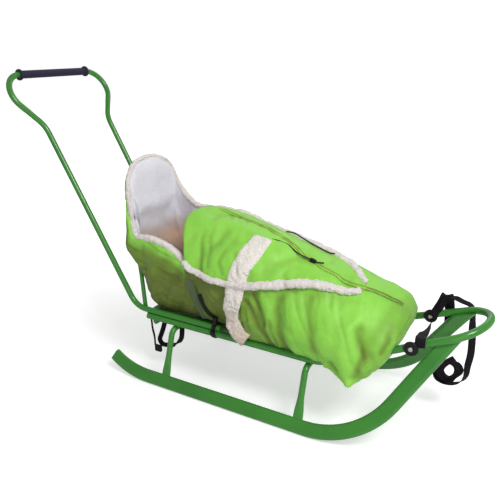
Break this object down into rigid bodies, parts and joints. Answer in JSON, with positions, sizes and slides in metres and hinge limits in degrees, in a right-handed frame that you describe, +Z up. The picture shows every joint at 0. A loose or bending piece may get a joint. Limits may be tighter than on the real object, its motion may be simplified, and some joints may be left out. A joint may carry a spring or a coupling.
{
  "type": "child's sled with push handle",
  "caption": "Steel-tube child's sled with leaning flat-oval runners, a slatted seat, a rear push handle, a hooped backrest, a fitted footmuff and a webbing tow strap.",
  "frame": {"origin": "on the floor under the middle of the sled's outline", "axes": "+X to the front of the sled, +Y to its left, +Z up"},
  "size_m": [1.3149, 0.3928, 0.8375],
  "materials": {
    "green_enamel": "glossy enamel",
    "painted_slats": "satin paint",
    "dark_grip": "matt foam rubber",
    "black_plastic": "fine matt",
    "zinc_bolt": "zinc plated",
    "lime_shell": "coated nylon, glossy",
    "white_plush": "sheepskin pile",
    "dark_cord": "braided",
    "black_webbing": "woven webbing"
  },
  "bodies": {
    "root": {"seat_frame": "green_enamel", "runner_right": "green_enamel", "runner_left": "green_enamel", "arch_rear": "green_enamel", "arch_front": "green_enamel", "rear_cross_tube": "green_enamel", "backrest_hoop": "green_enamel", "push_handle": "green_enamel", "seat_slat_1": "painted_slats", "seat_slat_2": "painted_slats", "seat_slat_3": "painted_slats", "handle_grip": "dark_grip", "handle_clamp_right": "black_plastic", "handle_clamp_left": "black_plastic", "tow_disc_right": "black_plastic", "tow_disc_left": "black_plastic", "tow_bolt_right": "zinc_bolt", "tow_bolt_left": "zinc_bolt", "footmuff_foot": "lime_shell", "footmuff_cover": "lime_shell", "footmuff_tub": "lime_shell", "footmuff_back": "lime_shell", "plush_strap_right": "white_plush", "plush_strap_left": "white_plush", "drawcord_right": "dark_cord", "drawcord_left": "dark_cord", "cord_lock": "black_plastic", "tow_bridle": "black_webbing", "tow_strap": "black_webbing", "tow_strap_hank": "black_webbing", "belt_slack": "black_webbing", "belt_buckle": "black_plastic"}
  },
  "joints": []
}
